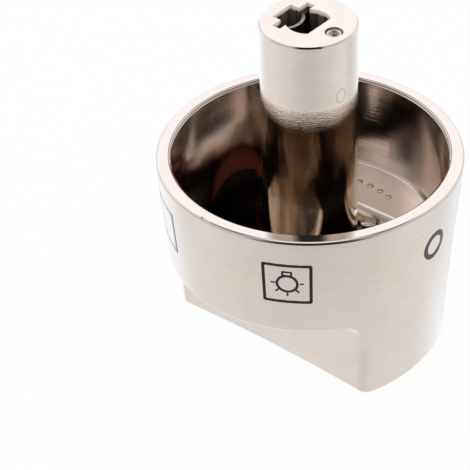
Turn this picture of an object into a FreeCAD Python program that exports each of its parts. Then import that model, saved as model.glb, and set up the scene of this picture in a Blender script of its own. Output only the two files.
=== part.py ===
import FreeCAD, Part
import math
import os

# Cast knob body, measured about the shaft's axis, in millimetres
rim_diameter = 42.0
wall_draft = 5.0
skirt_height = 15.9
rim_width = 1.85
rim_round = 0.5
mouth_chamfer = 0.25
cup_draft = 5.0
face_thickness = 2.4
floor_chamfer = 0.4

# Grip bar that crosses the face and ends flush with the skirt
grip_height = 13.0
grip_crest_width = 17.0
grip_side_radius = 250.0
grip_draft = 5.0
grip_root_round = 2.5
grip_corner_round = 1.8
grip_crest_round = 0.6
skirt_edge_round = 0.6

# Hollow inside the grip, open to the cup
grip_wall = 2.4
crest_thickness = 2.4
hollow_mouth_round = 2.3
hollow_corner_round = 1.2
web_length = 9.0
web_drop = 2.5

# Round pads that the casting was pushed out by
pad_diameter = 2.2
pad_drop = 0.4
pad_along = 4.9
pad_across = 6.85
pin_mark_diameter = 2.4
pin_mark_centre_diameter = 0.9
pin_mark_depth = 0.3
pin_mark_along = 4.25

# Stem and the socket for a shaft with one flat
stem_diameter = 13.1
stem_rise = 20.4
stem_end_chamfer = 0.2
stem_foot_draft = 1.5
shaft_diameter = 6.0
shaft_flat_offset = 1.8
shaft_clearance = 0.05
socket_depth = 20.0

# Pocket beside the socket that holds the spring
slot_near = 1.8
slot_far = 3.1
slot_width = 7.3
relief_far = 4.5
relief_width = 3.8

# Bowed leaf spring that presses the shaft against its flat
spring_thickness = 0.45
spring_side_clearance = 0.12
spring_length = 11.0
spring_inset = 1.0
spring_reach = 1.4
spring_tab_length = 0.9
spring_blend_radius = 0.6

# Levels and radii that follow from the sizes above
face_level = grip_height
floor_level = face_level + face_thickness
rim_level = face_level + skirt_height
stem_end = rim_level + stem_rise
rim_radius = rim_diameter / 2
stem_radius = stem_diameter / 2
pocket_depth = spring_inset + spring_length
grip_root_level = face_level - grip_root_round
stem_foot_level = crest_thickness / 2
overcut = 1.0
level_tolerance = 0.01

axis_z = FreeCAD.Vector(0, 0, 1)
axis_x = FreeCAD.Vector(1, 0, 0)
axis_y = FreeCAD.Vector(0, 1, 0)
origin = FreeCAD.Vector(0, 0, 0)


def slope(angle):
    return math.tan(math.radians(angle))


def wall_radius(level):
    return rim_radius - slope(wall_draft) * (rim_level - level)


def cup_radius(level):
    return rim_radius - rim_width - mouth_chamfer - slope(cup_draft) * (rim_level - level)


def grip_half_width(level):
    return grip_crest_width / 2 + slope(grip_draft) * level


def hollow_half_width(level):
    return grip_half_width(level) - grip_wall


def rounded_outline(corners, place):
    # Each corner is (u, v, radius), and a radius of zero leaves it sharp
    edges = []
    starts = []
    ends = []
    count = len(corners)
    for index in range(count):
        u, v, radius = corners[index]
        corner = FreeCAD.Vector(u, v, 0)
        before = FreeCAD.Vector(*corners[index - 1][:2], 0) - corner
        after = FreeCAD.Vector(*corners[(index + 1) % count][:2], 0) - corner
        half_angle = before.getAngle(after) / 2
        reach = radius / math.tan(half_angle)
        start = corner + before.normalize() * reach
        end = corner + after.normalize() * reach
        if radius > 0:
            inward = (before + after).normalize()
            middle = corner + inward * (radius / math.sin(half_angle) - radius)
            edges.append(Part.Arc(place(start), place(middle), place(end)).toShape())
        starts.append(start)
        ends.append(end)
    for index in range(count):
        following = starts[(index + 1) % count]
        edges.append(Part.LineSegment(place(ends[index]), place(following)).toShape())
    return Part.Face(Part.Wire(Part.__sortEdges__(edges)))


def upright(corners):
    return rounded_outline(corners, lambda p: FreeCAD.Vector(0, p.x, p.y))


def turned(corners):
    # Two halves, so that the seams lie across the grip, clear of the edges that are rounded later
    half = upright(corners).revolve(origin, axis_z, 180)
    return half.fuse(half.mirror(origin, axis_x))


def along_grip(corners, length):
    face = rounded_outline(corners, lambda p: FreeCAD.Vector(-length / 2, p.x, p.y))
    return face.extrude(axis_x * length)


def block(x_low, x_high, width, z_low, z_high):
    corner = FreeCAD.Vector(x_low, -width / 2, z_low)
    return Part.makeBox(x_high - x_low, width, z_high - z_low, corner)


def skirt_and_grip():
    blank = turned([
        (0, 0, 0),
        (wall_radius(0), 0, 0),
        (rim_radius, rim_level, rim_round),
        (0, rim_level, 0),
    ])
    side = beside_grip()
    blank = blank.cut(side).cut(side.mirror(origin, axis_y))
    return rounded_crest(rounded_sides(blank))


def beside_grip():
    # A disc with draft, whose rim hollows the grip's side a little along its length
    disc = upright([
        (0, -overcut, 0),
        (grip_side_radius + slope(grip_draft) * overcut, -overcut, 0),
        (grip_side_radius - slope(grip_draft) * face_level, face_level, grip_root_round),
        (0, face_level, 0),
    ]).revolve(origin, axis_z, 360)
    disc.translate(axis_y * (grip_crest_width / 2 + grip_side_radius))
    return disc


def side_edge_radius(point):
    # The round is wide at the grip's corners and narrows through its root to the skirt's edge
    share = (point.z - grip_root_level) / (face_level - grip_root_level)
    share = min(max(share, 0), 1)
    return grip_corner_round + share * (skirt_edge_round - grip_corner_round)


def on_side_edge(edge):
    box = edge.BoundBox
    off_crest = box.ZMax > level_tolerance
    below_rim = box.ZMax < face_level + level_tolerance
    middle = edge.valueAt((edge.FirstParameter + edge.LastParameter) / 2)
    off_wall = abs(math.hypot(middle.x, middle.y) - wall_radius(middle.z))
    return off_crest and below_rim and off_wall < level_tolerance


def curve_ends(edge):
    return [edge.valueAt(edge.FirstParameter), edge.valueAt(edge.LastParameter)]


def rounded_sides(blank):
    numbered = [(number, edge) for number, edge in enumerate(blank.Edges, 1) if on_side_edge(edge)]
    fillets = []
    for side in (1, -1):
        # The edge that leads a chain sets its direction, and each edge's radii are given along it
        chain = [(number, edge) for number, edge in numbered if side * edge.CenterOfMass.y > 0]
        chain.sort(key=lambda pair: pair[1].BoundBox.ZMin, reverse=True)
        start, end = curve_ends(chain[0][1])
        for number, edge in chain:
            ends = sorted(curve_ends(edge), key=lambda point: point.x, reverse=start.x > end.x)
            fillets.append((number, side_edge_radius(ends[0]), side_edge_radius(ends[1])))
    document = FreeCAD.newDocument("knob")
    base = document.addObject("Part::Feature", "blank")
    base.Shape = blank
    rounded = document.addObject("Part::Fillet", "rounded")
    rounded.Base = base
    rounded.Edges = fillets
    document.recompute()
    return rounded.Shape


def rounded_crest(form):
    crest = [edge for edge in form.Edges if edge.BoundBox.ZMax < level_tolerance]
    return form.makeFillet(grip_crest_round, crest)


def cup():
    top = rim_level + overcut
    mouth_radius = rim_radius - rim_width
    return turned([
        (0, floor_level, 0),
        (cup_radius(floor_level) - floor_chamfer, floor_level, 0),
        (cup_radius(floor_level + floor_chamfer), floor_level + floor_chamfer, 0),
        (cup_radius(rim_level - mouth_chamfer), rim_level - mouth_chamfer, 0),
        (mouth_radius, rim_level, 0),
        (mouth_radius, top, 0),
        (0, top, 0),
    ])


def grip_hollow():
    mouth = hollow_half_width(floor_level)
    bottom = hollow_half_width(crest_thickness)
    lip = mouth + hollow_mouth_round
    top = floor_level + floor_chamfer
    channel = along_grip([
        (-lip, top, 0),
        (-lip, floor_level, 0),
        (-mouth, floor_level, hollow_mouth_round),
        (-bottom, crest_thickness, hollow_corner_round),
        (bottom, crest_thickness, hollow_corner_round),
        (mouth, floor_level, hollow_mouth_round),
        (lip, floor_level, 0),
        (lip, top, 0),
    ], rim_diameter)
    ends = turned([
        (0, 0, 0),
        (cup_radius(0), 0, 0),
        (cup_radius(top), top, 0),
        (0, top, 0),
    ])
    return channel.common(ends)


def left_standing():
    # What the hollow leaves standing in it: the web beside the stem and a pad at the web's end
    width = 2 * hollow_half_width(floor_level)
    web = block(-web_length / 2, web_length / 2, width, 0, floor_level - web_drop)
    foot = FreeCAD.Vector(pad_along, pad_across, 0)
    pad = Part.makeCylinder(pad_diameter / 2, floor_level - pad_drop, foot)
    return web.fuse(pad)


def stem():
    # Straight down to the cup's floor, and with draft from there into the crest's wall
    foot_radius = stem_radius + slope(stem_foot_draft) * (floor_level - stem_foot_level)
    return turned([
        (0, stem_foot_level, 0),
        (foot_radius, stem_foot_level, 0),
        (stem_radius, floor_level, 0),
        (stem_radius, stem_end - stem_end_chamfer, 0),
        (stem_radius - stem_end_chamfer, stem_end, 0),
        (0, stem_end, 0),
    ])


def shaft_socket():
    # A round bore with one flat, on the side that the grip points to
    reach = shaft_diameter / 2 + shaft_clearance
    flat = shaft_flat_offset + shaft_clearance
    bore = Part.makeCylinder(reach, socket_depth + overcut, FreeCAD.Vector(0, 0, stem_end - socket_depth))
    return bore.common(block(-reach, flat, 2 * reach, 0, stem_end + overcut))


def spring_pocket():
    bottom = stem_end - pocket_depth
    top = stem_end + overcut
    slot = block(-slot_far, -slot_near, slot_width, bottom, top)
    relief = block(-relief_far, -slot_near, relief_width, bottom, top)
    return slot.fuse(relief)


def pin_mark():
    rim = pin_mark_diameter / 2
    centre = pin_mark_centre_diameter / 2
    sunk = stem_end - pin_mark_depth
    ring = turned([
        (centre, stem_end, 0),
        (centre + pin_mark_depth, sunk, 0),
        (rim - pin_mark_depth, sunk, 0),
        (rim, stem_end, 0),
        (rim, stem_end + overcut, 0),
        (centre, stem_end + overcut, 0),
    ])
    ring.translate(axis_x * pin_mark_along)
    return ring


def knob_body():
    cavity = cup().fuse(grip_hollow()).cut(left_standing())
    body = skirt_and_grip().cut(cavity).fuse(stem())
    for recess in (shaft_socket(), spring_pocket(), pin_mark()):
        body = body.cut(recess)
    return body


def bowed_edge(offset, half_length):
    # One face of the leaf: straight tab, blend, bow towards the shaft, blend, straight tab
    tab_x = -slot_far + spring_thickness / 2
    apex_x = -spring_reach - spring_thickness / 2
    bow_half = half_length - spring_tab_length
    turn = 2 * math.atan((apex_x - tab_x) / bow_half)
    bow_radius = bow_half / math.sin(turn) - spring_blend_radius
    bow_centre = FreeCAD.Vector(apex_x - bow_radius, 0, 0)
    apex = FreeCAD.Vector(apex_x + offset, 0, 0)
    tab = FreeCAD.Vector(tab_x + offset, bow_half, 0)
    blend_centre = FreeCAD.Vector(tab_x + spring_blend_radius, bow_half, 0)
    towards = (blend_centre - bow_centre).normalize()
    joint = bow_centre + towards * (bow_radius + offset)
    outward = (tab - blend_centre).normalize() + (joint - blend_centre).normalize()
    blend_middle = blend_centre + outward.normalize() * (spring_blend_radius - offset)
    tip = FreeCAD.Vector(tab.x, half_length, 0)
    over = [mirrored(point) for point in (joint, blend_middle, tab, tip)]
    return [
        Part.LineSegment(tip, tab).toShape(),
        Part.Arc(tab, blend_middle, joint).toShape(),
        Part.Arc(joint, apex, over[0]).toShape(),
        Part.Arc(over[0], over[1], over[2]).toShape(),
        Part.LineSegment(over[2], over[3]).toShape(),
    ]


def mirrored(point):
    return FreeCAD.Vector(point.x, -point.y, point.z)


def shaft_spring():
    half_length = slot_width / 2 - spring_side_clearance
    near = bowed_edge(spring_thickness / 2, half_length)
    far = bowed_edge(-spring_thickness / 2, half_length)
    ends = [
        Part.LineSegment(near[0].Vertexes[0].Point, far[0].Vertexes[0].Point).toShape(),
        Part.LineSegment(near[-1].Vertexes[-1].Point, far[-1].Vertexes[-1].Point).toShape(),
    ]
    outline = Part.Wire(Part.__sortEdges__(near + far + ends))
    leaf = Part.Face(outline).extrude(axis_z * spring_length)
    leaf.translate(axis_z * (stem_end - pocket_depth))
    return leaf


nodes = {
    "knob_body": knob_body(),
    "shaft_spring": shaft_spring(),
}
os.makedirs("parts", exist_ok=True)
for name, shape in nodes.items():
    shape.exportStep(f"parts/{name}.step")
    print(name, "valid", shape.isValid(), "solids", len(shape.Solids), "volume", round(shape.Volume, 1))
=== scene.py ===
import bpy
import math
import numpy as np
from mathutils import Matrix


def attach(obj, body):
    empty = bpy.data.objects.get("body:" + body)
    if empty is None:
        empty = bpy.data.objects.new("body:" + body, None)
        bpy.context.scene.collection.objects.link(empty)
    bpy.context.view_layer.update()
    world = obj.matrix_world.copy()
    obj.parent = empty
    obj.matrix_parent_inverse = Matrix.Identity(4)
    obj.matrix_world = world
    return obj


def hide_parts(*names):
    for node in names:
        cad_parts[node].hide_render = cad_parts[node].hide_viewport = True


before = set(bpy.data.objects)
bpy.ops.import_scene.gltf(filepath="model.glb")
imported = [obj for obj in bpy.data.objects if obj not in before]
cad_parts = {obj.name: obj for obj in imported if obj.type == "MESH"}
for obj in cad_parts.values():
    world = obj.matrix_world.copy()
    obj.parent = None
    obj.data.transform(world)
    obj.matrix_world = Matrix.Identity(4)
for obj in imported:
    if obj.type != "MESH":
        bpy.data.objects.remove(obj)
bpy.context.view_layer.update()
scene = bpy.context.scene
mm = 0.001
print("frame loaded:", ", ".join(sorted(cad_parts)))

# Short ways to say what a node tree holds


def feed(tree, socket, value):
    # A socket takes a link, or a plain number, vector or colour
    if hasattr(value, "is_linked"):
        tree.links.new(value, socket)
    elif value is not None:
        socket.default_value = value


def addNode(tree, kind, inputs=None, **values):
    # Inputs are fed by name or number, values are the node's own settings
    node = tree.nodes.new(kind)
    for name, value in values.items():
        setattr(node, name, value)
    for name, value in (inputs or {}).items():
        feed(tree, node.inputs[name], value)
    return node


def calc(tree, operation, a, b=None, c=None, clamp=False):
    inputs = {0: a, 1: b, 2: c}
    return addNode(tree, "ShaderNodeMath", inputs, operation=operation, use_clamp=clamp).outputs[0]


def times(tree, a, b):
    return calc(tree, "MULTIPLY", a, b)


def larger(tree, a, b):
    return calc(tree, "MAXIMUM", a, b)


def inverse(tree, a):
    return calc(tree, "SUBTRACT", 1.0, a)


def vectorCalc(tree, operation, a, b=None, output="Vector"):
    return addNode(tree, "ShaderNodeVectorMath", {0: a, 1: b}, operation=operation).outputs[output]


def lengthOf(tree, vector):
    return vectorCalc(tree, "LENGTH", vector, output="Value")


def dotOf(tree, a, b):
    return vectorCalc(tree, "DOT_PRODUCT", a, b, "Value")


def axes(tree, vector):
    return addNode(tree, "ShaderNodeSeparateXYZ", {0: vector}).outputs


def joined(tree, x=0.0, y=0.0, z=0.0):
    return addNode(tree, "ShaderNodeCombineXYZ", {0: x, 1: y, 2: z}).outputs[0]


def ramp(tree, value, low, high, toLow=0.0, toHigh=1.0):
    # A smooth step between two values
    inputs = {"Value": value, "From Min": low, "From Max": high, "To Min": toLow, "To Max": toHigh}
    node = addNode(tree, "ShaderNodeMapRange", inputs, interpolation_type="SMOOTHSTEP")
    return node.outputs["Result"]


def fade(tree, value, low, high, toLow=0.0, toHigh=1.0):
    # A ramp between two places in millimetres
    return ramp(tree, value, low * mm, high * mm, toLow, toHigh)


def band(tree, value, rise, full, fall, end, strength=1.0):
    # Up from rise to full and down again from fall to end, in millimetres
    up = fade(tree, value, rise, full, 0.0, strength)
    return times(tree, up, fade(tree, value, fall, end, 1.0, 0.0))


def blendColour(tree, factor, a, b):
    return addNode(tree, "ShaderNodeMix", {0: factor, 6: a, 7: b}, data_type="RGBA").outputs[2]


def blendValue(tree, factor, a, b):
    return addNode(tree, "ShaderNodeMix", {0: factor, 2: a, 3: b}, data_type="FLOAT").outputs[0]


def blendShader(tree, factor, a, b):
    return addNode(tree, "ShaderNodeMixShader", {0: factor, 1: a, 2: b}).outputs[0]


def noise(tree, vector, scale, detail=2.0, roughness=0.5):
    inputs = {"Vector": vector, "Scale": scale, "Detail": detail, "Roughness": roughness}
    return addNode(tree, "ShaderNodeTexNoise", inputs).outputs["Fac"]


def newTree(kind, name, inputs, outputs):
    # A node group with its sockets: each has a label and a type, and an input may have a value
    tree = bpy.data.node_groups.new(name, kind)
    for label, socket, *value in inputs:
        made = tree.interface.new_socket(name=label, in_out="INPUT", socket_type="NodeSocket" + socket)
        if value:
            made.default_value = value[0]
    for label, socket in outputs:
        tree.interface.new_socket(name=label, in_out="OUTPUT", socket_type="NodeSocket" + socket)
    return tree, addNode(tree, "NodeGroupInput").outputs


# The camera, the floor and the light

cameraView = {
    "place": (0.157463, -0.194521, 0.203825),
    "turn": (52.914, 1.594, 40.190),  # degrees
    "lens": 172.374,
    "sensor": 36.0,
    "nearest": 0.01,
}
floorSettings = {
    "reach": 3.0,
    "colour": (0.93, 0.93, 0.93, 1),
    "white": 0.97,  # how much of it is plain white to the camera and to gloss
    "dim": 0.27,  # painted shade: how much darker metal sees it on the camera's side
    "dimRange": (0.005, 0.065),  # metres from the knob's axis
    "dimRight": 0.11,  # and painted shade behind the knob on the right
    "rightSide": (0.267, 0.964, 0.0),
    "rightRange": (0.72, 0.95),
}
light = {
    "level": 1.0,
    "tint": (0.98, 0.99, 1.025, 1),
    "cameraSide": (0.636, -0.772, 0.0),  # towards the camera, over the floor
    "darkRange": (0.60, 0.93),  # cosines of the angle from the camera's side
    "darkDepth": 0.95,
    "sideRange": (-0.8, 0.2),  # the tent is dimmer beside the camera than behind the knob
    "sideDim": 0.30,
    "brightRange": (0.0, -0.9),  # and brighter high up behind the knob
    "brightHeights": (0.1, 0.55),
    "brightGain": 0.35,
    "ceilingHeights": (0.77, 0.86),  # sines of the heights where the tent ends
    "ceiling": 0.22,
    "lampHeights": (0.915, 0.955),  # and where the lamp above begins
    "evenLight": 0.9,  # what dull surfaces see all round
    "bounces": 24,  # the light in the cup has come off many walls
}


def makeCamera(view):
    data = bpy.data.cameras.new("camera")
    data.lens = view["lens"]
    data.sensor_width = view["sensor"]
    data.clip_start = view["nearest"]
    camera = bpy.data.objects.new("camera", data)
    scene.collection.objects.link(camera)
    camera.location = view["place"]
    camera.rotation_euler = [math.radians(angle) for angle in view["turn"]]
    scene.camera = camera


def makeFloor(settings):
    # Pale paint that the camera sees as white, and gloss as white with painted shade on the camera's side
    # and behind the knob on the right
    reach = settings["reach"]
    corners = [(-reach, -reach, 0), (reach, -reach, 0), (reach, reach, 0), (-reach, reach, 0)]
    mesh = bpy.data.meshes.new("floor")
    mesh.from_pydata(corners, [], [(0, 1, 2, 3)])
    floor = bpy.data.objects.new("floor", mesh)
    scene.collection.objects.link(floor)
    material = bpy.data.materials.new("paleFloor")
    material.use_nodes = True
    tree = material.node_tree
    tree.nodes.clear()
    where = addNode(tree, "ShaderNodeTexCoord").outputs["Object"]
    outward = vectorCalc(tree, "NORMALIZE", where)
    facing = larger(tree, dotOf(tree, outward, light["cameraSide"]), 0.0)
    # Painted shade, seen only in gloss: darker on the camera's side and behind the knob on the right
    dim = ramp(tree, lengthOf(tree, where), *settings["dimRange"], 0.0, settings["dim"])
    dim = times(tree, dim, times(tree, facing, facing))
    right = ramp(tree, dotOf(tree, outward, settings["rightSide"]), *settings["rightRange"])
    dim = calc(tree, "MULTIPLY_ADD", right, settings["dimRight"], dim)
    rays = addNode(tree, "ShaderNodeLightPath").outputs
    seen = larger(tree, rays["Is Camera Ray"], rays["Is Glossy Ray"])
    seen = larger(tree, seen, rays["Is Transmission Ray"])
    strength = larger(tree, inverse(tree, dim), rays["Is Camera Ray"])
    paint = addNode(tree, "ShaderNodeBsdfDiffuse", {"Color": settings["colour"]}).outputs[0]
    white = addNode(tree, "ShaderNodeEmission", {"Strength": strength}).outputs[0]
    surface = blendShader(tree, times(tree, seen, settings["white"]), paint, white)
    addNode(tree, "ShaderNodeOutputMaterial", {"Surface": surface})
    mesh.materials.append(material)


def makeWorld(settings):
    # A white tent, darker behind the camera and brighter behind the knob
    world = bpy.data.worlds.new("studio")
    scene.world = world
    world.use_nodes = True
    tree = world.node_tree
    tree.nodes.clear()
    where = addNode(tree, "ShaderNodeTexCoord").outputs["Generated"]
    height = axes(tree, where)["Z"]
    spread = calc(tree, "SQRT", inverse(tree, times(tree, height, height)))
    side = dotOf(tree, where, settings["cameraSide"])
    facing = calc(tree, "DIVIDE", side, larger(tree, spread, 0.001))
    dark = ramp(tree, facing, *settings["darkRange"], 1.0, 1.0 - settings["darkDepth"])
    dimmer = ramp(tree, facing, *settings["sideRange"], 1.0, 1.0 - settings["sideDim"])
    bright = ramp(tree, facing, *settings["brightRange"])
    bright = times(tree, bright, ramp(tree, height, *settings["brightHeights"]))
    level = calc(tree, "MULTIPLY_ADD", bright, settings["brightGain"], settings["level"])
    roof = ramp(tree, height, *settings["ceilingHeights"], 1.0, settings["ceiling"])
    shade = calc(tree, "MINIMUM", times(tree, dark, dimmer), roof)
    shade = larger(tree, shade, ramp(tree, height, *settings["lampHeights"]))
    rays = addNode(tree, "ShaderNodeLightPath").outputs
    shade = larger(tree, shade, times(tree, rays["Is Diffuse Ray"], settings["evenLight"]))
    inputs = {"Color": settings["tint"], "Strength": times(tree, level, shade)}
    studio = addNode(tree, "ShaderNodeBackground", inputs).outputs[0]
    white = addNode(tree, "ShaderNodeBackground", {"Color": (1, 1, 1, 1)}).outputs[0]
    surface = blendShader(tree, rays["Is Camera Ray"], studio, white)
    addNode(tree, "ShaderNodeOutputWorld", {"Surface": surface})
    scene.cycles.max_bounces = settings["bounces"]
    scene.cycles.glossy_bounces = settings["bounces"]


makeCamera(cameraView)
makeFloor(floorSettings)
makeWorld(light)
scene.view_settings.view_transform = "Standard"
print("camera, floor and light made")

# Effects that several finishes share

sheenWhite = (0.97, 0.97, 0.98, 1)  # painted sheen: near white where a surface is seen along it, standing in for its brighter reflection there


def makeBrushLines():
    # Fine lines round the axis and soft clouds in the plating, as values about 0
    inputs = [("Vector", "Vector"), ("Lines", "Float", 6000.0), ("Stretch", "Float", 0.04),
              ("Clouds", "Float", 300.0)]
    outputs = [("Lines", "Float"), ("Clouds", "Float")]
    tree, given = newTree("ShaderNodeTree", "brushLines", inputs, outputs)
    squeeze = joined(tree, given["Stretch"], given["Stretch"], 1.0)
    along = vectorCalc(tree, "MULTIPLY", given["Vector"], squeeze)
    lines = calc(tree, "SUBTRACT", noise(tree, along, given["Lines"], 3.0, 0.65), 0.5)
    clouds = calc(tree, "SUBTRACT", noise(tree, given["Vector"], given["Clouds"], 3.0), 0.5)
    addNode(tree, "NodeGroupOutput", {"Lines": lines, "Clouds": clouds})
    return tree


def makeMark():
    # One mark on the surface: 1 in its middle, 0 outside its reach, with a ragged edge
    inputs = [("Vector", "Vector"), ("Place", "Vector", (0.0, 0.0, 0.0)),
              ("Reach", "Vector", (0.001, 0.001, 0.001)), ("Ragged", "Float", 0.3),
              ("Soft", "Float", 0.3)]
    tree, given = newTree("ShaderNodeTree", "mark", inputs, [("Mask", "Float")])
    away = vectorCalc(tree, "SUBTRACT", given["Vector"], given["Place"])
    away = lengthOf(tree, vectorCalc(tree, "DIVIDE", away, given["Reach"]))
    rough = calc(tree, "SUBTRACT", noise(tree, given["Vector"], 4000.0), 0.5)
    away = calc(tree, "MULTIPLY_ADD", rough, given["Ragged"], away)
    mask = ramp(tree, away, inverse(tree, given["Soft"]), 1.0, 1.0, 0.0)
    addNode(tree, "NodeGroupOutput", {"Mask": mask})
    return tree


brushLines = makeBrushLines()
mark = makeMark()


def markMask(tree, vector, spec):
    place, reach, ragged, soft = spec
    inputs = {"Vector": vector, "Place": [v * mm for v in place], "Reach": [v * mm for v in reach],
              "Ragged": ragged, "Soft": soft}
    return addNode(tree, "ShaderNodeGroup", inputs, node_tree=mark).outputs["Mask"]


def varied(tree, grain, value, tones):
    # A value that goes up and down with the lines and the clouds, by the two tones
    value = calc(tree, "MULTIPLY_ADD", grain["Lines"], tones[0], value)
    return calc(tree, "MULTIPLY_ADD", grain["Clouds"], tones[1], value)


def toned(tree, grain, colour, tones):
    return vectorCalc(tree, "MULTIPLY", colour, varied(tree, grain, 1.0, tones))


def paintedSheen(tree, settings, colour):
    # Painted sheen: the colour turns pale where the surface is seen along it
    facing = addNode(tree, "ShaderNodeLayerWeight", {"Blend": 0.5}).outputs["Facing"]
    return blendColour(tree, ramp(tree, facing, *settings["sheenRange"]), colour, sheenWhite)


def bumpOf(tree, height, depth, normal=None):
    # The depth is in hundredths of a millimetre
    inputs = {"Distance": depth * 0.01 * mm, "Height": height, "Normal": normal}
    return addNode(tree, "ShaderNodeBump", inputs).outputs["Normal"]


def startMaterial(name, settings, metallic=1.0):
    material = bpy.data.materials.new(name)
    material.use_nodes = True
    tree = material.node_tree
    shader = tree.nodes["Principled BSDF"]
    shader.inputs["Metallic"].default_value = metallic
    where = addNode(tree, "ShaderNodeTexCoord").outputs["Object"]
    inputs = {"Vector": where, "Lines": settings["lines"], "Stretch": settings["stretch"],
              "Clouds": settings["clouds"]}
    grain = addNode(tree, "ShaderNodeGroup", inputs, node_tree=brushLines).outputs
    return material, tree, shader, where, grain


def finishMaterial(tree, shader, colour, rough, normal, metallic=None):
    feed(tree, shader.inputs["Base Color"], colour)
    feed(tree, shader.inputs["Roughness"], rough)
    feed(tree, shader.inputs["Normal"], normal)
    feed(tree, shader.inputs["Metallic"], metallic)


print("shared effects made")

# The nickel plated casting. Lengths and levels are in millimetres. A ramp's numbers are where it
# starts and ends, and its values there if they aren't 0 and 1. A band's are where it rises, is
# full, falls and ends, and its strength if it isn't 1. The tones are how far the lines and the
# clouds change a colour or the roughness. A mark has its place, its reach, how ragged and how soft.

casting = {
    "faceLevel": 13.0,
    "rimLevel": 28.9,
    "rimRadius": 21.0,
    "floorLevel": 15.4,
    "draft": 5.0,  # degrees
    "cornerFlare": 0.4,  # how far the grip's corners stand out at the crest
    "cornerAt": (16.1, 9.0),
    "pinAt": (4.25, 0.0),
}


def flareCorners(points, normals):
    # The grip's corners stand out a little towards the crest; the normals turn with them
    face = casting["faceLevel"] * mm
    reachX, reachY = casting["cornerAt"][0] * mm, casting["cornerAt"][1] * mm
    size = casting["cornerFlare"] * mm
    depth = np.clip((face - points[:, 2]) / face, 0, 1)
    blend = depth * depth * (3 - 2 * depth)
    blendSlope = 6 * depth * (1 - depth) / -face
    x, y = points[:, 0] / reachX, points[:, 1] / reachY
    slope = np.column_stack([
        3 * size * x**2 * y**2 * blend / reachX,
        2 * size * x**3 * y * blend / reachY,
        size * x**3 * y**2 * blendSlope,
    ])
    turned = normals - slope * (normals[:, :1] / (1 + slope[:, :1]))
    turned /= np.linalg.norm(turned, axis=1)[:, None]
    moved = points.copy()
    moved[:, 0] += size * x**3 * y**2 * blend
    return moved, turned


castingZones = {
    "socketRadius": 4.7,
    "socketBottom": 25.0,
    "socketTop": 49.28,
    "pinRadius": 1.25,
    "pinBottom": 48.0,
    "stemRadius": 6.65,
    "stemBottom": 15.45,
    "hollowBottom": 2.3,
    "hollowTop": 13.05,
    "hollowAlong": 17.2,  # at the crest's level, well within the grip's own walls
    "hollowAcross": 7.6,
    "hollowDraft": 0.09,
    "landRadius": 20.45,  # from here outwards the rim belongs to the skirt
}


def castingZone(x, y, z):
    # Which finish a face has, by its middle
    zones = castingZones
    radius = math.hypot(x, y)
    byPin = math.hypot(x - casting["pinAt"][0], y) < zones["pinRadius"] and z > zones["pinBottom"]
    if radius < zones["socketRadius"] and zones["socketBottom"] < z < zones["socketTop"] and not byPin:
        return "socket"
    if radius < zones["stemRadius"] and z > zones["stemBottom"]:
        return "stem"
    lean = math.tan(math.radians(casting["draft"])) * (casting["rimLevel"] - z)
    if z < zones["hollowBottom"] or radius > zones["landRadius"] - lean:
        return "skirt"
    wider = zones["hollowDraft"] * z
    inHollow = abs(y) < zones["hollowAcross"] + wider and radius < zones["hollowAlong"] + wider
    return "cup" if z > zones["hollowTop"] or inHollow else "skirt"


def dressedCopy(node, name, looks, zoneOf):
    # A closed copy of a CAD node with the exact surfaces' normals and a finish for each zone
    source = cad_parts[node].data
    places = np.empty(len(source.vertices) * 3)
    source.vertices.foreach_get("co", places)
    places = places.reshape(-1, 3)
    corners = np.empty(len(source.loops), dtype=np.int64)
    source.loops.foreach_get("vertex_index", corners)
    normals = np.empty(len(source.loops) * 3)
    source.corner_normals.foreach_get("vector", normals)
    rounded = np.round(places * 1e7).astype(np.int64)
    _, first, index = np.unique(rounded, axis=0, return_index=True, return_inverse=True)
    faces = index.reshape(-1)[corners].reshape(-1, 3)
    a, b, c = faces.T
    whole = (a != b) & (b != c) & (a != c)
    _, normals = flareCorners(places[corners], normals.reshape(-1, 3))
    points, _ = flareCorners(places[first], np.ones((len(first), 3)))
    mesh = bpy.data.meshes.new(name)
    mesh.from_pydata(points.tolist(), [], faces[whole].tolist())
    for material in looks.values():
        mesh.materials.append(material)
    centres = points[faces[whole]].mean(axis=1) / mm
    zones = [list(looks).index(zoneOf(*centre)) for centre in centres]
    mesh.polygons.foreach_set("material_index", zones)
    mesh.polygons.foreach_set("use_smooth", [True] * len(mesh.polygons))
    mesh.normals_split_custom_set(normals.reshape(-1, 3, 3)[whole].reshape(-1, 3).tolist())
    mesh.update()
    copy = bpy.data.objects.new(name, mesh)
    scene.collection.objects.link(copy)
    print(name, "has", len(mesh.polygons), "faces")
    return copy


skirtFinish = {
    "colour": (0.738, 0.670, 0.620, 1),
    "tarnished": (0.743, 0.668, 0.596, 1),
    "tarnishClouds": (160.0, 3.0, 0.6),  # scale, detail and roughness
    "tarnishRange": (0.42, 0.66),
    "tarnishLevels": (11.0, 22.0, 0.2, 1.0),  # less of it on the grip
    "tones": (0.22, 0.16),
    "roughness": 0.24,
    "roughTones": (0.10, 0.16),
    "lines": 5200.0,
    "stretch": 0.035,
    "clouds": 260.0,
    "lineDepth": 0.35,
    "sheenRange": (0.55, 0.91),
    "edgeLevels": (28.25, 28.55),  # the rim's round and land are smoother than the wall
    "edgeRoughness": 0.09,
    "corner": (0.655, 0.60, 0.525, 1),  # painted shade: darker and yellowish down the grip's corners, standing in for the dimmer reflection in their rounds
    "cornerSlope": 0.554,  # y over x where they run
    "cornerRange": (0.012, 0.055, 0.8, 0.0),
    "cornerLevels": (6.0, 10.0, 1.0, 0.0),
    "cornerReach": (14.6, 15.6),
    "nick": ((-1.3, -20.45, 28.82), (0.36, 0.36, 0.30), 0.5, 0.4),
    "nickColour": (0.36, 0.30, 0.27, 1),
    "nickStrength": 0.7,
    "nickDepth": 6.0,
}


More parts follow.
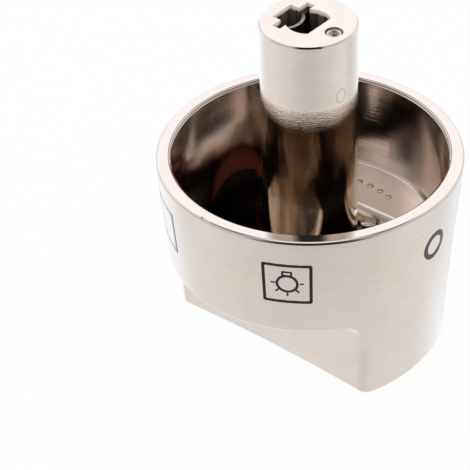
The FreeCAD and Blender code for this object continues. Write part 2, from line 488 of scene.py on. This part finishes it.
def makeSkirtFinish(settings):
    material, tree, shader, where, grain = startMaterial("satinNickel", settings)
    x, y, z = axes(tree, where)
    tarnish = ramp(tree, noise(tree, where, *settings["tarnishClouds"]), *settings["tarnishRange"])
    tarnish = times(tree, tarnish, fade(tree, z, *settings["tarnishLevels"]))
    colour = blendColour(tree, tarnish, settings["colour"], settings["tarnished"])
    colour = toned(tree, grain, colour, settings["tones"])
    # Painted shade down the grip's corners, standing in for the dimmer reflection in their rounds
    across = calc(tree, "ABSOLUTE", x)
    slope = calc(tree, "DIVIDE", calc(tree, "ABSOLUTE", y), larger(tree, across, mm))
    slope = calc(tree, "ABSOLUTE", calc(tree, "SUBTRACT", slope, settings["cornerSlope"]))
    corner = ramp(tree, slope, *settings["cornerRange"])
    corner = times(tree, corner, fade(tree, z, *settings["cornerLevels"]))
    corner = times(tree, corner, fade(tree, across, *settings["cornerReach"]))
    colour = blendColour(tree, corner, colour, settings["corner"])
    nick = markMask(tree, where, settings["nick"])
    nicked = times(tree, nick, settings["nickStrength"])
    colour = blendColour(tree, nicked, colour, settings["nickColour"])
    smooth = fade(tree, z, *settings["edgeLevels"])
    rough = varied(tree, grain, settings["roughness"], settings["roughTones"])
    rough = blendValue(tree, smooth, rough, settings["edgeRoughness"])
    height = times(tree, grain["Lines"], inverse(tree, smooth))
    height = calc(tree, "MULTIPLY_ADD", nick, -settings["nickDepth"], height)
    normal = bumpOf(tree, height, settings["lineDepth"])
    finishMaterial(tree, shader, paintedSheen(tree, settings, colour), rough, normal)
    return material


cupFinish = {
    "colour": (0.765, 0.665, 0.590, 1),
    "tones": (0.30, 0.14),
    "roughness": 0.13,
    "roughTones": (0.0, 0.05),
    "lines": 3200.0,
    "stretch": 0.02,
    "clouds": 220.0,
    "lineDepth": 1.2,
    "waveScale": 150.0,
    "waves": 24.0,
    "rim": (0.735, 0.656, 0.606, 1),
    "edgeLevels": (28.45, 28.65),
    "edgeRoughness": 0.05,
    # The next heights are over the cup's floor
    "floorColour": (0.84, 0.735, 0.665, 1),
    "floorBand": (-1.5, -0.7, 0.2, 0.7),
    "floorRoughness": 0.18,
    "hazeHeights": (2.1, 8.6, 0.0, 0.008),
    "hazeRange": (-0.15, 0.15),
    "dullBand": (-3.0, -1.5, -0.5, 3.5, 0.05),  # with how much of the plating is dull there
    "deepShade": (0.41, 0.33, 0.275, 1),  # painted shade: browner down in the grip's hollow
    "deepShadeHeights": (-1.0, -2.0),
    # painted shade, used deep in the hollow, along the foot of the wall and just inside the mouth
    "darkShade": (0.28, 0.21, 0.17, 1),
    "darkShadeHeights": (-3.2, -6.5),
    # painted shade along the foot of the cup's wall, where it meets the floor
    "footBand": (0.10, 0.17, 0.40, 0.55, 0.5),
    "redLight": (0.18, 0.046, 0.030, 1),  # painted reflected light: a dark red ring where the cup's wall meets the hollow, standing in for reddened light reflected there
    "redLightMark": ((-17.0, 4.4, 12.1), (4.5, 6.8, 8.8), 0.04, 0.47),
    "redLightInside": ((-17.0, 4.6, 6.0), (5.5, 7.6, 9.6), 0.04, 0.06),
    "redLightRange": (0.0, 0.35),
    "redLightDull": (0.1, 1.0, 0.0, 0.8),
    # painted shade: a dark patch on the hollow's wall at its end
    "endShade": (0.20, 0.175, 0.14, 1),
    "endShadeMark": ((-17.0, 3.6, 11.6), (6.0, 9.0, 10.6), 0.10, 0.40),
    "endShadeStrength": 0.75,
    "pad": (0.33, 0.26, 0.21, 1),  # the round pad beside the stem, with its fine rings
    "padAt": (4.9, 6.85, 15.0),
    "padReach": (1.5, 1.8, 0.75, 0.0),
    "padDome": (0.0, 1.8, 24.0, 0.0),
    "ringTurns": 12.0,  # radians in a millimetre
    "ringReach": (0.9, 1.1, 1.0, 0.0),
    "mouthRadius": 19.12,  # the next places are distances from it
    # painted highlight: a pale, less metallic line round the mouth's edge
    "lip": (0.90, 0.85, 0.81, 1),
    "lipLevels": (28.62, 28.68),
    "lipReach": (-0.03, 0.0, 1.0, 0.0),
    "lipStrength": 0.8,
    "lipDull": 0.15,
    # painted shade: a dark band further inside the pale line
    "underReach": (-0.11, -0.07, 1.0, 0.0),
    "underStrength": 0.95,
    # painted shade: a dark line at the land's inner edge, as in a small groove
    "grooveShade": (0.10, 0.08, 0.07, 1),
    "grooveShadeBand": (-0.02, 0.02, 0.09, 0.13, 0.85),
}


def makeCupFinish(settings):
    material, tree, shader, where, grain = startMaterial("cupNickel", settings)
    x, y, z = axes(tree, where)
    height = calc(tree, "SUBTRACT", z, casting["floorLevel"] * mm)
    fromMouth = lengthOf(tree, joined(tree, x, y))
    fromMouth = calc(tree, "SUBTRACT", fromMouth, settings["mouthRadius"] * mm)
    fromPad = lengthOf(tree, vectorCalc(tree, "SUBTRACT", where, [v * mm for v in settings["padAt"]]))
    onFloor = band(tree, height, *settings["floorBand"])
    smooth = fade(tree, z, *settings["edgeLevels"])
    onWall = inverse(tree, smooth)

    colour = blendColour(tree, onFloor, settings["colour"], settings["floorColour"])
    colour = blendColour(tree, smooth, toned(tree, grain, colour, settings["tones"]), settings["rim"])
    # Painted shade along the foot of the cup's wall
    colour = blendColour(tree, band(tree, height, *settings["footBand"]), colour, settings["darkShade"])
    # Painted shade on the hollow's wall at its end
    endShade = times(tree, markMask(tree, where, settings["endShadeMark"]), settings["endShadeStrength"])
    colour = blendColour(tree, endShade, colour, settings["endShade"])
    # Painted shade, browner and darker deeper down in the grip's hollow
    colour = blendColour(tree, fade(tree, height, *settings["deepShadeHeights"]), colour, settings["deepShade"])
    colour = blendColour(tree, fade(tree, height, *settings["darkShadeHeights"]), colour, settings["darkShade"])
    # Painted reflected light: a dark red ring round the hollow's end, dull there
    redLight, inside = (markMask(tree, where, settings[name]) for name in ("redLightMark", "redLightInside"))
    redLight = calc(tree, "SUBTRACT", redLight, inside, clamp=True)
    colour = blendColour(tree, ramp(tree, redLight, *settings["redLightRange"]), colour, settings["redLight"])
    colour = blendColour(tree, fade(tree, fromPad, *settings["padReach"]), colour, settings["pad"])
    # Painted highlight: a pale line round the mouth's edge
    lip = fade(tree, z, *settings["lipLevels"])
    lip = times(tree, lip, fade(tree, fromMouth, *settings["lipReach"]))
    # Painted shade further inside the pale line
    under = times(tree, lip, fade(tree, fromMouth, *settings["underReach"]))
    colour = blendColour(tree, times(tree, lip, settings["lipStrength"]), colour, settings["lip"])
    colour = blendColour(tree, times(tree, under, settings["underStrength"]), colour, settings["darkShade"])
    # Painted shade at the land's inner edge
    colour = blendColour(tree, band(tree, fromMouth, *settings["grooveShadeBand"]), colour, settings["grooveShade"])

    rough = settings["floorRoughness"] - settings["roughness"]
    rough = calc(tree, "MULTIPLY_ADD", onFloor, rough, settings["roughness"])
    rough = varied(tree, grain, rough, settings["roughTones"])
    rough = blendValue(tree, smooth, rough, settings["edgeRoughness"])

    haze = fade(tree, height, *settings["hazeHeights"])
    haze = times(tree, haze, ramp(tree, grain["Lines"], *settings["hazeRange"]))
    dull = larger(tree, times(tree, haze, onWall), band(tree, height, *settings["dullBand"]))
    dull = larger(tree, dull, times(tree, calc(tree, "SUBTRACT", lip, under), settings["lipDull"]))
    dull = larger(tree, dull, ramp(tree, redLight, *settings["redLightDull"]))

    rings = calc(tree, "SINE", times(tree, fromPad, settings["ringTurns"] / mm))
    rings = times(tree, rings, fade(tree, fromPad, *settings["ringReach"]))
    pad = calc(tree, "ADD", rings, fade(tree, fromPad, *settings["padDome"]))
    waves = times(tree, noise(tree, where, settings["waveScale"], 0.0), settings["waves"])
    wall = times(tree, calc(tree, "ADD", grain["Lines"], waves), onWall)
    normal = bumpOf(tree, calc(tree, "ADD", pad, wall), settings["lineDepth"])
    finishMaterial(tree, shader, colour, rough, normal, inverse(tree, dull))
    return material


stemFinish = {
    "colour": (0.735, 0.662, 0.605, 1),
    "low": (0.51, 0.435, 0.345, 1),  # painted shade: browner down in the cup
    "lowLevels": (39.5, 36.0),
    "paleReflection": (0.85, 0.72, 0.605, 1),  # painted reflection: a pale warm band where the ripples are
    "paleReflectionBand": (37.4, 38.2, 39.0, 40.4, 0.75),
    "tones": (0.10, 0.12),
    "roughness": 0.07,
    "roughTones": (0.0, 0.06),
    "lines": 2600.0,
    "stretch": 0.08,
    "clouds": 420.0,
    "lineDepth": 0.8,
    "sheenRange": (0.55, 0.90),
    "rippleBand": (35.2, 37.6, 39.0, 40.2, 2.5),  # where the tool left ripples, and how deep
    "rippleStretch": (1.0, 1.0, 3.0),
    "rippleScale": 2500.0,
    "stain": (0.42, 0.33, 0.24, 1),
    "stainMark": ((6.42, -1.31, 41.0), (0.75, 1.0, 1.25), 0.25, 0.30),
    "stainInside": ((6.42, -1.31, 41.0), (0.55, 0.75, 1.0), 0.25, 0.30),
    "stainStrength": 0.5,
    "dirtAndReflection": (0.06, 0.05, 0.045, 1),
    "ringBreakScale": 1500.0,
    "darkMarks": [  # dark marks round the stem's end, each with how dark it is
        (((3.9, -5.25, 49.19), (1.8, 1.8, 0.09), 1.5, 0.6), 1.0),
        (((-3.74, -5.54, 49.25), (0.32, 0.32, 0.25), 0.6, 0.4), 0.35),
        (((5.1, -3.99, 49.17), (0.26, 0.26, 0.16), 0.4, 0.5), 1.0),
        (((-0.15, -6.55, 46.0), (0.12, 0.2, 0.10), 0.2, 0.6), 0.3),
    ],
    # painted reflection in the pin's shallow mark: a pale disc with a dark middle and dark rings
    "pinLevels": (48.7, 48.8),
    "pinPale": (0.82, 0.72, 0.62, 1),
    "pinReach": (1.15, 1.22, 1.0, 0.0),
    "pinMetal": 0.25,
    "pinReflection": [  # painted reflection: the mark's outer and inner dark ring, and how far they are broken up
        ((0.92, 1.02, 1.20, 1.26), (0.34, 0.50, 0.7, 1.0)),
        ((0.42, 0.50, 0.62, 0.74), (0.42, 0.54, 0.2, 0.9)),
    ],
    "pinMiddle": (0.36, 0.48, 1.0, 0.0),
}


def makeStemFinish(settings):
    material, tree, shader, where, grain = startMaterial("stemNickel", settings)
    x, y, z = axes(tree, where)
    # Painted shade: browner down the stem in the cup
    colour = fade(tree, z, *settings["lowLevels"])
    colour = blendColour(tree, colour, settings["colour"], settings["low"])
    # Painted reflection: a pale warm band round the stem
    colour = blendColour(tree, band(tree, z, *settings["paleReflectionBand"]), colour, settings["paleReflection"])
    colour = toned(tree, grain, colour, settings["tones"])
    stain, inside = (markMask(tree, where, settings[name]) for name in ("stainMark", "stainInside"))
    stain = calc(tree, "SUBTRACT", stain, inside)
    stain = calc(tree, "MULTIPLY", stain, settings["stainStrength"], clamp=True)
    colour = blendColour(tree, stain, colour, settings["stain"])
    colour = paintedSheen(tree, settings, colour)

    pinX, pinY = casting["pinAt"]
    fromPin = joined(tree, calc(tree, "SUBTRACT", x, pinX * mm), calc(tree, "SUBTRACT", y, pinY * mm))
    fromPin = lengthOf(tree, fromPin)
    onEnd = fade(tree, z, *settings["pinLevels"])
    # Painted reflection in the pin's mark: a dark middle and dark rings on a pale disc; then the dark
    # marks round the stem's end
    broken = noise(tree, where, settings["ringBreakScale"])
    darkened = fade(tree, fromPin, *settings["pinMiddle"])
    for ring, breaks in settings["pinReflection"]:
        darkened = larger(tree, darkened, times(tree, band(tree, fromPin, *ring), ramp(tree, broken, *breaks)))
    darkened = times(tree, darkened, onEnd)
    for spec, depth in settings["darkMarks"]:
        darkened = larger(tree, darkened, times(tree, markMask(tree, where, spec), depth))
    pin = times(tree, fade(tree, fromPin, *settings["pinReach"]), onEnd)
    colour = blendColour(tree, pin, colour, settings["pinPale"])
    colour = blendColour(tree, darkened, colour, settings["dirtAndReflection"])
    metallic = blendValue(tree, pin, 1.0, settings["pinMetal"])
    rough = varied(tree, grain, settings["roughness"], settings["roughTones"])

    ripples = vectorCalc(tree, "MULTIPLY", where, settings["rippleStretch"])
    ripples = noise(tree, ripples, settings["rippleScale"], 1.0)
    ripples = times(tree, ripples, band(tree, z, *settings["rippleBand"]))
    normal = bumpOf(tree, calc(tree, "ADD", ripples, grain["Lines"]), settings["lineDepth"])
    finishMaterial(tree, shader, colour, rough, normal, metallic)
    return material


socketFinish = {
    "colour": (0.20, 0.15, 0.12, 1),
    "streak": (0.50, 0.40, 0.33, 1),
    "streakStretch": (1.0, 1.0, 0.06),
    "streakScale": 1400.0,
    "streakRange": (0.40, 0.62),
    # partly rubbed metal, partly a painted highlight on the mouth's rounded edge
    "mouth": (1.0, 0.88, 0.74, 1),
    "mouthLevels": (48.55, 48.85),
    "mouthRagged": 0.35,
    "mouthRound": 0.8,  # the mouth's edge is rubbed round
    "roundSamples": 8,
    "metal": 0.75,
    "roughness": 0.38,
    "roughTones": (0.0, 0.2),
    "lines": 3000.0,
    "stretch": 0.5,
    "clouds": 600.0,
    "lineDepth": 0.4,
}


def makeSocketFinish(settings):
    # As cast below, with a pale band round the mouth: partly rubbed metal, partly a painted highlight
    # where its rounded edge catches light from above
    material, tree, shader, where, grain = startMaterial("socketWalls", settings)
    streaks = vectorCalc(tree, "MULTIPLY", where, settings["streakStretch"])
    streaks = noise(tree, streaks, settings["streakScale"])
    ragged = calc(tree, "SUBTRACT", streaks, 0.5)
    mouth = calc(tree, "MULTIPLY_ADD", ragged, settings["mouthRagged"] * mm, axes(tree, where)["Z"])
    mouth = fade(tree, mouth, *settings["mouthLevels"])
    colour = ramp(tree, streaks, *settings["streakRange"])
    colour = blendColour(tree, colour, settings["colour"], settings["streak"])
    colour = blendColour(tree, mouth, colour, settings["mouth"])
    rough = varied(tree, grain, settings["roughness"], settings["roughTones"])
    inputs = {"Radius": settings["mouthRound"] * mm}
    rounded = addNode(tree, "ShaderNodeBevel", inputs, samples=settings["roundSamples"]).outputs[0]
    normal = bumpOf(tree, grain["Lines"], settings["lineDepth"], rounded)
    metallic = blendValue(tree, mouth, settings["metal"], 0.0)
    finishMaterial(tree, shader, colour, rough, normal, metallic)
    return material


castingLooks = {
    "skirt": makeSkirtFinish(skirtFinish),
    "cup": makeCupFinish(cupFinish),
    "stem": makeStemFinish(stemFinish),
    "socket": makeSocketFinish(socketFinish),
}
knobCasting = dressedCopy("knob_body", "knobCasting", castingLooks, castingZone)
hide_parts("knob_body")
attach(knobCasting, "root")
print("casting dressed")

# The leaf in the spring pocket

leafFinish = {
    "colour": (0.26, 0.23, 0.20),
    "tones": (0.2, 0.2),
    "roughness": 0.22,
    "roughTones": (0.0, 0.1),
    "lines": 9000.0,
    "stretch": 0.2,
    "clouds": 500.0,
    "lineDepth": 0.2,
}


def makeLeafFinish(settings):
    material, tree, shader, _, grain = startMaterial("springSteel", settings)
    colour = toned(tree, grain, settings["colour"], settings["tones"])
    rough = varied(tree, grain, settings["roughness"], settings["roughTones"])
    finishMaterial(tree, shader, colour, rough, bumpOf(tree, grain["Lines"], settings["lineDepth"]))
    return material


def dress(node, material):
    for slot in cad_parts[node].material_slots:
        slot.link = "OBJECT"
        slot.material = material


dress("shaft_spring", makeLeafFinish(leafFinish))
print("leaf dressed")

# The prints on the skirt: flat outlines in millimetres, wrapped on the cone

prints = {
    "thickness": 0.015,
    "step": 0.12,
    "readRadius": 20.4,  # where the widths were read
    "line": 0.43,
    "frameLevels": (18.55, 24.90),
    "frameRounds": (0.28, 0.12),  # outside and inside
    "roundSteps": 4,
    "lampAt": -59.51,  # degrees round the axis
    "lampFrame": (-3.23, 3.05),
    "bulbAt": (-0.09, 21.74),
    "bulbRadii": (1.54, 1.18),
    "bulbSteps": 40,
    "neck": (-0.82, 0.62, 23.92),  # left, right and top
    "cap": (-0.55, 23.28, 0.35, 23.65),
    "rays": [  # from, to and width
        (-2.30, 21.80, -1.68, 21.80, 0.22),
        (1.58, 21.82, 2.12, 21.82, 0.23),
        (-1.68, 20.28, -1.27, 20.70, 0.26),
        (1.08, 20.72, 1.48, 20.26, 0.26),
        (-0.07, 19.58, -0.07, 20.14, 0.25),
    ],
    "squareAt": -123.71,
    "squareFrame": (-3.14, 3.14),
    "ringAt": 2.9,
    "ringLevel": 21.75,
    "rings": [(2.24, 60), (1.46, 45)],  # radius and number of points
}
inkFinish = {
    "black": (0.013, 0.012, 0.014),
    "grey": (0.07, 0.066, 0.075),
    "tones": (0.0, 0.8),
    "roughness": 0.42,
    "roughTones": (0.0, 0.2),
    "specular": 0.2,
    "lines": 5200.0,
    "stretch": 0.2,
    "clouds": 900.0,
    "lineDepth": 0.2,
    "sheenRange": (0.66, 0.88),
}


def arc(x, y, radius, start, end, count):
    angles = [math.radians(start + (end - start) * i / count) for i in range(count + 1)]
    return [(x + radius * math.cos(a), y + radius * math.sin(a)) for a in angles]


def circle(x, y, radius, count):
    return arc(x, y, radius, 0, 360 * (count - 1) / count, count - 1)


def rectangle(left, bottom, right, top, corner=0.0):
    if not corner:
        return [(left, bottom), (right, bottom), (right, top), (left, top)]
    centres = [(right - corner, bottom + corner, -90), (right - corner, top - corner, 0),
               (left + corner, top - corner, 90), (left + corner, bottom + corner, 180)]
    points = []
    for x, y, start in centres:
        points += arc(x, y, corner, start, start + 90, prints["roundSteps"])
    return points


def bar(x0, y0, x1, y1, width):
    length = math.hypot(x1 - x0, y1 - y0)
    dx, dy = (y1 - y0) / length * width / 2, (x0 - x1) / length * width / 2
    return [(x0 + dx, y0 + dy), (x1 + dx, y1 + dy), (x1 - dx, y1 - dy), (x0 - dx, y0 - dy)]


def squareFrame(left, right):
    half = prints["line"] / 2
    bottom, top = prints["frameLevels"]
    outer, inner = prints["frameRounds"]
    return [rectangle(left - half, bottom - half, right + half, top + half, outer),
            rectangle(left + half, bottom + half, right - half, top - half, inner)]


def lampOutlines():
    x, y = prints["bulbAt"]
    outer, inner = prints["bulbRadii"]
    left, right, top = prints["neck"]
    count = prints["bulbSteps"]
    fromLeft = math.degrees(math.acos((left - x) / outer))
    fromRight = math.degrees(math.acos((right - x) / outer))
    bulb = arc(x, y, outer, fromLeft, 360 + fromRight, count) + [(right, top), (left, top)]
    lamp = [bulb, circle(x, y, inner, count), rectangle(*prints["cap"])]
    return squareFrame(*prints["lampFrame"]) + lamp + [bar(*ray) for ray in prints["rays"]]


def feedMode(node, mode, label):
    # The mode is a property of the node, or in newer versions a menu input
    if hasattr(node, "mode"):
        node.mode = mode
    else:
        node.inputs["Mode"].default_value = label


def endShape(tree, geometry, material):
    # Real geometry with its material, as the export needs it
    real = addNode(tree, "GeometryNodeRealizeInstances", {0: geometry}).outputs[0]
    inputs = {"Geometry": real, "Material": material}
    addNode(tree, "NodeGroupOutput", {0: addNode(tree, "GeometryNodeSetMaterial", inputs).outputs[0]})
    return tree


def makeWrapTree():
    # Outlines are filled, made solid and wrapped on the drafted skirt
    sizes = ("Step", "Thickness", "Angle", "Read Radius", "Rim Radius", "Rim Level", "Draft")
    inputs = [("Geometry", "Geometry"), *((label, "Float") for label in sizes), ("Ink", "Material")]
    tree, given = newTree("GeometryNodeTree", "wrapOnSkirt", inputs, [("Geometry", "Geometry")])
    even = addNode(tree, "GeometryNodeResampleCurve")
    feedMode(even, "LENGTH", "Length")
    feed(tree, even.inputs["Curve"], given["Geometry"])
    feed(tree, even.inputs["Length"], given["Step"])
    filled = addNode(tree, "GeometryNodeFillCurve", {"Curve": even.outputs[0]}).outputs[0]
    inputs = {"Mesh": filled, "Offset Scale": given["Thickness"], "Individual": False}
    solid = addNode(tree, "GeometryNodeExtrudeMesh", inputs).outputs["Mesh"]
    under = addNode(tree, "GeometryNodeFlipFaces", {0: filled}).outputs[0]
    both = addNode(tree, "GeometryNodeJoinGeometry")
    tree.links.new(under, both.inputs[0])
    tree.links.new(solid, both.inputs[0])
    inputs = {"Geometry": both.outputs[0], "Distance": 1e-6}
    closed = addNode(tree, "GeometryNodeMergeByDistance", inputs).outputs[0]

    across, level, raised = axes(tree, addNode(tree, "GeometryNodeInputPosition").outputs[0])
    lean = given["Draft"]
    below = calc(tree, "SUBTRACT", given["Rim Level"], level)
    narrower = times(tree, calc(tree, "TANGENT", lean), below)
    radius = calc(tree, "SUBTRACT", given["Rim Radius"], narrower)
    radius = calc(tree, "MULTIPLY_ADD", raised, calc(tree, "COSINE", lean), radius)
    level = calc(tree, "SUBTRACT", level, times(tree, raised, calc(tree, "SINE", lean)))
    angle = calc(tree, "ADD", calc(tree, "DIVIDE", across, given["Read Radius"]), given["Angle"])
    x = times(tree, radius, calc(tree, "COSINE", angle))
    y = times(tree, radius, calc(tree, "SINE", angle))
    inputs = {"Geometry": closed, "Position": joined(tree, x, y, level)}
    wrapped = addNode(tree, "GeometryNodeSetPosition", inputs).outputs[0]
    return endShape(tree, wrapped, given["Ink"])


def runTree(host, tree, values, name):
    # Runs a Geometry Nodes tree on the host once and keeps the result as a plain mesh
    modifier = host.modifiers.new("shape", "NODES")
    modifier.node_group = tree
    for item in tree.interface.items_tree:
        if item.in_out == "INPUT" and item.name in values:
            modifier[item.identifier] = values[item.name]
    depsgraph = bpy.context.evaluated_depsgraph_get()
    mesh = bpy.data.meshes.new_from_object(host.evaluated_get(depsgraph))
    host.modifiers.remove(modifier)
    bpy.data.objects.remove(host)
    piece = bpy.data.objects.new(name, mesh)
    scene.collection.objects.link(piece)
    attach(piece, "root")
    print(name, "has", len(mesh.polygons), "faces")
    return piece


def printPiece(name, outlines, angle, ink):
    curve = bpy.data.curves.new(name + "Outlines", "CURVE")
    curve.dimensions = "2D"
    for outline in outlines:
        spline = curve.splines.new("POLY")
        spline.points.add(len(outline) - 1)
        for point, (x, y) in zip(spline.points, outline):
            point.co = (x * mm, y * mm, 0, 1)
        spline.use_cyclic_u = True
    host = bpy.data.objects.new(name + "Host", curve)
    scene.collection.objects.link(host)
    values = {
        "Step": prints["step"] * mm,
        "Thickness": prints["thickness"] * mm,
        "Angle": math.radians(angle),
        "Read Radius": prints["readRadius"] * mm,
        "Rim Radius": casting["rimRadius"] * mm,
        "Rim Level": casting["rimLevel"] * mm,
        "Draft": math.radians(casting["draft"]),
        "Ink": ink,
    }
    return runTree(host, wrapTree, values, name)


def makeInk(name, colour, settings):
    # Fired print: dull, and a little uneven
    material, tree, shader, _, grain = startMaterial(name, settings, 0.0)
    shader.inputs["Specular IOR Level"].default_value = settings["specular"]
    colour = paintedSheen(tree, settings, toned(tree, grain, colour, settings["tones"]))
    rough = varied(tree, grain, settings["roughness"], settings["roughTones"])
    finishMaterial(tree, shader, colour, rough, bumpOf(tree, grain["Lines"], settings["lineDepth"]))
    return material


wrapTree = makeWrapTree()
blackInk = makeInk("blackInk", inkFinish["black"], inkFinish)
greyInk = makeInk("greyInk", inkFinish["grey"], inkFinish)
printPiece("lampPrint", lampOutlines(), prints["lampAt"], blackInk)
printPiece("squarePrint", squareFrame(*prints["squareFrame"]), prints["squareAt"], blackInk)
ringOutlines = [circle(0, prints["ringLevel"], *ring) for ring in prints["rings"]]
printPiece("ringPrint", ringOutlines, prints["ringAt"], greyInk)
print("prints made")

# Plain cast pips on the cup's floor

pips = {
    "count": 4,
    "radius": 13.4,
    "start": 97.0,  # degrees round the axis
    "end": 73.0,
    "size": (0.5, 0.5, 0.22),
    "fineness": 4,
}


def makePipTree(fineness):
    # Flattened domes at even steps round an arc
    inputs = [("Geometry", "Geometry"), ("Count", "Int"), ("Radius", "Float"), ("Start", "Float"),
              ("Sweep", "Float"), ("Level", "Float"), ("Size", "Vector"), ("Finish", "Material")]
    tree, given = newTree("GeometryNodeTree", "pipsOnArc", inputs, [("Geometry", "Geometry")])
    inputs = {"Resolution": given["Count"], "Radius": given["Radius"],
              "Start Angle": given["Start"], "Sweep Angle": given["Sweep"]}
    path = addNode(tree, "GeometryNodeCurveArc", inputs).outputs["Curve"]
    inputs = {"Geometry": path, "Offset": joined(tree, z=given["Level"])}
    lifted = addNode(tree, "GeometryNodeSetPosition", inputs).outputs[0]
    spots = addNode(tree, "GeometryNodeCurveToPoints")
    feedMode(spots, "EVALUATED", "Evaluated")
    feed(tree, spots.inputs["Curve"], lifted)
    dome = addNode(tree, "GeometryNodeMeshIcoSphere", {"Radius": 1.0, "Subdivisions": fineness})
    smooth = addNode(tree, "GeometryNodeSetShadeSmooth", {"Geometry": dome.outputs[0]}).outputs[0]
    inputs = {"Points": spots.outputs["Points"], "Instance": smooth, "Scale": given["Size"]}
    copies = addNode(tree, "GeometryNodeInstanceOnPoints", inputs).outputs[0]
    return endShape(tree, copies, given["Finish"])


def makePips(settings):
    host = bpy.data.objects.new("pipHost", bpy.data.meshes.new("pipHost"))
    scene.collection.objects.link(host)
    values = {
        "Count": settings["count"],
        "Radius": settings["radius"] * mm,
        "Start": math.radians(settings["start"]),
        "Sweep": math.radians(settings["end"] - settings["start"]),
        "Level": casting["floorLevel"] * mm,
        "Size": [size * mm for size in settings["size"]],
        "Finish": castingLooks["cup"],
    }
    return runTree(host, makePipTree(settings["fineness"]), values, "floorPips")


makePips(pips)
print("pips made")
